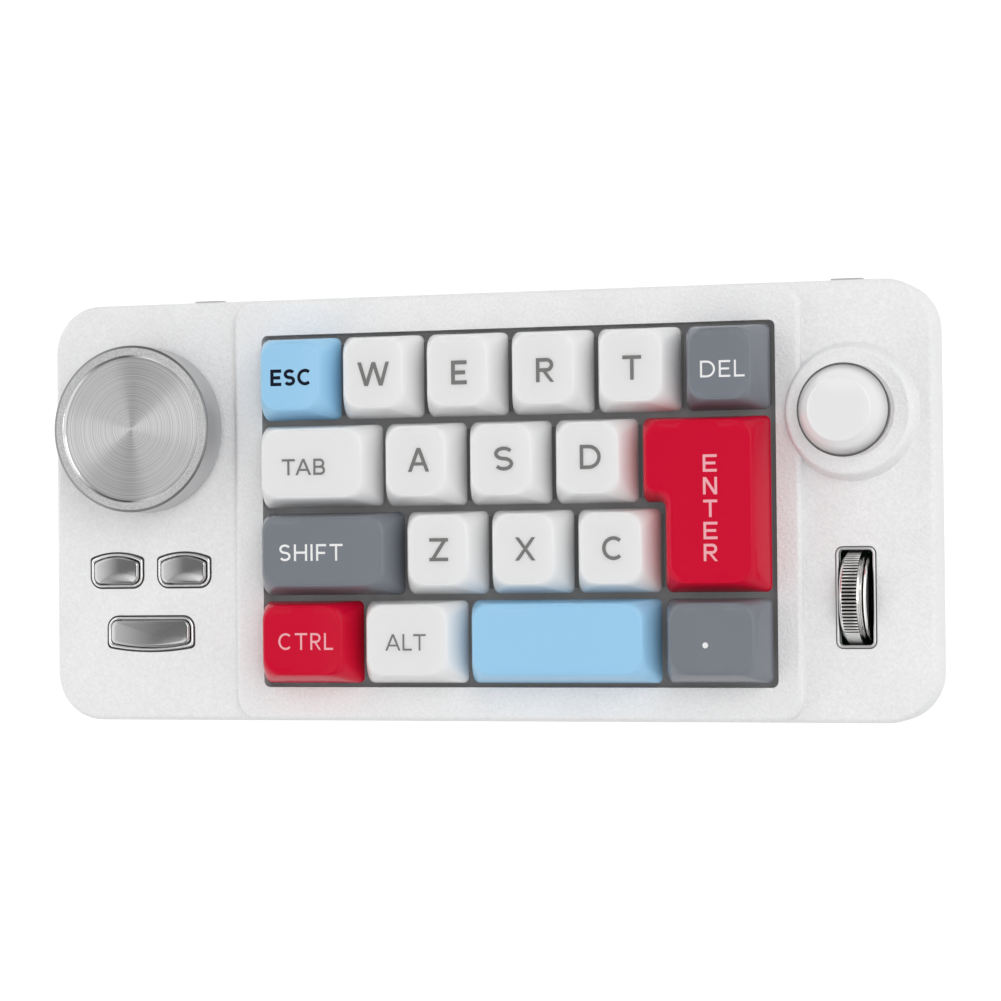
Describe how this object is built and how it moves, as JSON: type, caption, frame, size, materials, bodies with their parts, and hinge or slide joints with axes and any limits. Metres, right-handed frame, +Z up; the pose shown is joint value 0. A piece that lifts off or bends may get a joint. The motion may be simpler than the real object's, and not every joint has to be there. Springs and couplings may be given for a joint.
{
  "type": "one-handed gaming keypad",
  "caption": "Slim desk keypad with a raised field of sculpted keys, a spun metal dial with bright buttons on the left wing, and a thumbstick with a ribbed thumb wheel on the right.",
  "frame": {"origin": "on the desk, under the middle of the whole object's box, at the foot pads' lower faces", "axes": "+X to the user's right, +Y away from the user, +Z up from the desk"},
  "size_m": [0.1986, 0.0928, 0.0329],
  "materials": {
    "case_white": "fine-textured satin",
    "plate_dark": "matt",
    "board_green": "satin",
    "switch_dark": "satin",
    "stem_plastic": "satin",
    "cap_white": "soft gloss",
    "cap_blue": "soft gloss",
    "cap_red": "soft gloss",
    "cap_grey": "soft gloss",
    "dial_metal": "spun and turned",
    "bright_metal": "polished",
    "wheel_metal": "polished, ribbed",
    "stick_white": "gloss",
    "steel": "plated",
    "shoulder_dark": "satin",
    "foot_rubber": "matt"
  },
  "bodies": {
    "case": {"top_case": "case_white", "bottom_case": "case_white", "switch_plate": "plate_dark", "circuit_board": "board_green", "switch_housings": "switch_dark", "dial_encoder": "switch_dark", "metal_rims": "bright_metal", "tact_switches": "switch_dark", "stick_module": "switch_dark", "wheel_bracket": "steel", "cable_socket": "steel", "feet": "foot_rubber", "case_screws": "steel"},
    "key_esc": {"cap_esc": "cap_blue", "stem_esc": "stem_plastic"},
    "key_w": {"cap_w": "cap_white", "stem_w": "stem_plastic"},
    "key_e": {"cap_e": "cap_white", "stem_e": "stem_plastic"},
    "key_r": {"cap_r": "cap_white", "stem_r": "stem_plastic"},
    "key_t": {"cap_t": "cap_white", "stem_t": "stem_plastic"},
    "key_del": {"cap_del": "cap_grey", "stem_del": "stem_plastic"},
    "key_tab": {"cap_tab": "cap_white", "stem_tab": "stem_plastic"},
    "key_a": {"cap_a": "cap_white", "stem_a": "stem_plastic"},
    "key_s": {"cap_s": "cap_white", "stem_s": "stem_plastic"},
    "key_d": {"cap_d": "cap_white", "stem_d": "stem_plastic"},
    "key_enter": {"cap_enter": "cap_red", "stem_enter": "stem_plastic"},
    "key_shift": {"cap_shift": "cap_grey", "stem_shift": "stem_plastic"},
    "key_z": {"cap_z": "cap_white", "stem_z": "stem_plastic"},
    "key_x": {"cap_x": "cap_white", "stem_x": "stem_plastic"},
    "key_c": {"cap_c": "cap_white", "stem_c": "stem_plastic"},
    "key_ctrl": {"cap_ctrl": "cap_red", "stem_ctrl": "stem_plastic"},
    "key_alt": {"cap_alt": "cap_white", "stem_alt": "stem_plastic"},
    "key_space": {"cap_space": "cap_blue", "stem_space": "stem_plastic"},
    "key_dot": {"cap_dot": "cap_grey", "stem_dot": "stem_plastic"},
    "dial": {"dial_knob": "dial_metal"},
    "button_left": {"button_left": "bright_metal"},
    "button_right": {"button_right": "bright_metal"},
    "button_wide": {"button_wide": "bright_metal"},
    "gimbal": {"stick_gimbal": "steel"},
    "stick": {"stick_cap": "stick_white"},
    "wheel": {"thumb_wheel": "wheel_metal"},
    "shoulder_left": {"shoulder_left": "shoulder_dark"},
    "shoulder_right": {"shoulder_right": "shoulder_dark"}
  },
  "joints": [
    {"name": "key_esc_press", "type": "slide", "parent": "case", "child": "key_esc", "axis": [0, 0, -1], "range_m": [0, 0.004], "stiffness_N_per_m": 110, "springref_m": -0.0005},
    {"name": "key_w_press", "type": "slide", "parent": "case", "child": "key_w", "axis": [0, 0, -1], "range_m": [0, 0.004], "stiffness_N_per_m": 110, "springref_m": -0.0005},
    {"name": "key_e_press", "type": "slide", "parent": "case", "child": "key_e", "axis": [0, 0, -1], "range_m": [0, 0.004], "stiffness_N_per_m": 110, "springref_m": -0.0005},
    {"name": "key_r_press", "type": "slide", "parent": "case", "child": "key_r", "axis": [0, 0, -1], "range_m": [0, 0.004], "stiffness_N_per_m": 110, "springref_m": -0.0005},
    {"name": "key_t_press", "type": "slide", "parent": "case", "child": "key_t", "axis": [0, 0, -1], "range_m": [0, 0.004], "stiffness_N_per_m": 110, "springref_m": -0.0005},
    {"name": "key_del_press", "type": "slide", "parent": "case", "child": "key_del", "axis": [0, 0, -1], "range_m": [0, 0.004], "stiffness_N_per_m": 110, "springref_m": -0.0005},
    {"name": "key_tab_press", "type": "slide", "parent": "case", "child": "key_tab", "axis": [0, 0, -1], "range_m": [0, 0.004], "stiffness_N_per_m": 110, "springref_m": -0.0005},
    {"name": "key_a_press", "type": "slide", "parent": "case", "child": "key_a", "axis": [0, 0, -1], "range_m": [0, 0.004], "stiffness_N_per_m": 110, "springref_m": -0.0005},
    {"name": "key_s_press", "type": "slide", "parent": "case", "child": "key_s", "axis": [0, 0, -1], "range_m": [0, 0.004], "stiffness_N_per_m": 110, "springref_m": -0.0005},
    {"name": "key_d_press", "type": "slide", "parent": "case", "child": "key_d", "axis": [0, 0, -1], "range_m": [0, 0.004], "stiffness_N_per_m": 110, "springref_m": -0.0005},
    {"name": "key_enter_press", "type": "slide", "parent": "case", "child": "key_enter", "axis": [0, 0, -1], "range_m": [0, 0.004], "stiffness_N_per_m": 110, "springref_m": -0.0005},
    {"name": "key_shift_press", "type": "slide", "parent": "case", "child": "key_shift", "axis": [0, 0, -1], "range_m": [0, 0.004], "stiffness_N_per_m": 110, "springref_m": -0.0005},
    {"name": "key_z_press", "type": "slide", "parent": "case", "child": "key_z", "axis": [0, 0, -1], "range_m": [0, 0.004], "stiffness_N_per_m": 110, "springref_m": -0.0005},
    {"name": "key_x_press", "type": "slide", "parent": "case", "child": "key_x", "axis": [0, 0, -1], "range_m": [0, 0.004], "stiffness_N_per_m": 110, "springref_m": -0.0005},
    {"name": "key_c_press", "type": "slide", "parent": "case", "child": "key_c", "axis": [0, 0, -1], "range_m": [0, 0.004], "stiffness_N_per_m": 110, "springref_m": -0.0005},
    {"name": "key_ctrl_press", "type": "slide", "parent": "case", "child": "key_ctrl", "axis": [0, 0, -1], "range_m": [0, 0.004], "stiffness_N_per_m": 110, "springref_m": -0.0005},
    {"name": "key_alt_press", "type": "slide", "parent": "case", "child": "key_alt", "axis": [0, 0, -1], "range_m": [0, 0.004], "stiffness_N_per_m": 110, "springref_m": -0.0005},
    {"name": "key_space_press", "type": "slide", "parent": "case", "child": "key_space", "axis": [0, 0, -1], "range_m": [0, 0.004], "stiffness_N_per_m": 110, "springref_m": -0.0005},
    {"name": "key_dot_press", "type": "slide", "parent": "case", "child": "key_dot", "axis": [0, 0, -1], "range_m": [0, 0.004], "stiffness_N_per_m": 110, "springref_m": -0.0005},
    {"name": "dial_spin", "type": "hinge", "parent": "case", "child": "dial", "pos_m": [-0.0771, 0.0179, 0.0201], "axis": [0, 0, 1], "continuous": true},
    {"name": "button_left_press", "type": "slide", "parent": "case", "child": "button_left", "axis": [0, 0, -1], "range_m": [0, 0.0005], "stiffness_N_per_m": 800, "springref_m": -0.0005},
    {"name": "button_right_press", "type": "slide", "parent": "case", "child": "button_right", "axis": [0, 0, -1], "range_m": [0, 0.0005], "stiffness_N_per_m": 800, "springref_m": -0.0005},
    {"name": "button_wide_press", "type": "slide", "parent": "case", "child": "button_wide", "axis": [0, 0, -1], "range_m": [0, 0.0005], "stiffness_N_per_m": 800, "springref_m": -0.0005},
    {"name": "stick_tilt_side", "type": "hinge", "parent": "case", "child": "gimbal", "pos_m": [0.0819, 0.0184, 0.0145], "axis": [0, 1, 0], "range_deg": [-14, 14], "stiffness_Nm_per_rad": 0.05},
    {"name": "stick_tilt_ahead", "type": "hinge", "parent": "gimbal", "child": "stick", "pos_m": [0.0819, 0.0184, 0.0145], "axis": [1, 0, 0], "range_deg": [-14, 14], "stiffness_Nm_per_rad": 0.05},
    {"name": "wheel_spin", "type": "hinge", "parent": "case", "child": "wheel", "pos_m": [0.0824, -0.0203, 0.01325], "axis": [1, 0, 0], "continuous": true},
    {"name": "shoulder_left_press", "type": "slide", "parent": "case", "child": "shoulder_left", "axis": [0, -1, 0], "range_m": [0, 0.0004], "stiffness_N_per_m": 800, "springref_m": -0.0005},
    {"name": "shoulder_right_press", "type": "slide", "parent": "case", "child": "shoulder_right", "axis": [0, -1, 0], "range_m": [0, 0.0004], "stiffness_N_per_m": 800, "springref_m": -0.0005}
  ]
}
